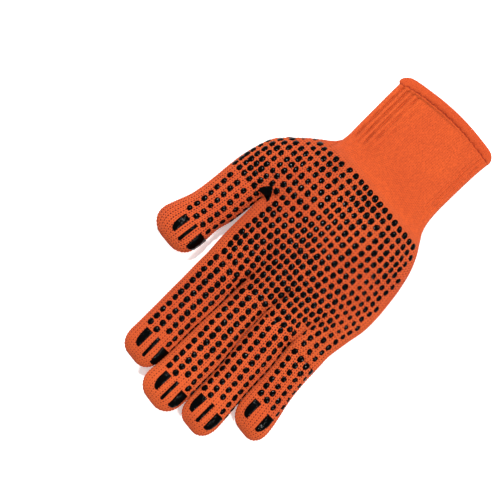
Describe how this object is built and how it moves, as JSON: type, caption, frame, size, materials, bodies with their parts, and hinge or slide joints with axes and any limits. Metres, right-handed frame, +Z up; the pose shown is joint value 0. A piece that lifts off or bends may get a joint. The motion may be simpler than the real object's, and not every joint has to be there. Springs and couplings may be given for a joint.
{
  "type": "pvc dotted knit glove",
  "caption": "Seamless knitted work glove with rubbery grip dots and fingertip pads on the palm side, a long plain cuff and a rolled hem.",
  "frame": {"origin": "on the surface the glove lies on, under the middle of its bounding box", "axes": "+Y from the fingertips to the mouth of the cuff; +Z up through the dotted palm side; the thumb is on the -X side"},
  "size_m": [0.1424, 0.2512, 0.0215],
  "materials": {
    "hand_knit": "bright orange knit, matte",
    "cuff_knit": "bright orange fine knit, matte",
    "hem_knit": "orange overlocked thread, matte",
    "pvc": "black, slightly glossy"
  },
  "bodies": {
    "root": {"cuff": "cuff_knit", "cuff_hem": "hem_knit", "index_finger": "hand_knit", "index_finger_pad_1": "pvc", "index_finger_pad_2": "pvc", "index_finger_pad_3": "pvc", "little_finger": "hand_knit", "little_finger_pad_1": "pvc", "little_finger_pad_2": "pvc", "middle_finger": "hand_knit", "middle_finger_pad_1": "pvc", "middle_finger_pad_2": "pvc", "middle_finger_pad_3": "pvc", "palm": "hand_knit", "ring_finger": "hand_knit", "ring_finger_pad_1": "pvc", "ring_finger_pad_2": "pvc", "ring_finger_pad_3": "pvc", "thumb": "hand_knit", "thumb_fork_pad": "pvc", "thumb_pad_1": "pvc", "thumb_pad_2": "pvc", "thumb_pad_3": "pvc"}
  },
  "joints": []
}
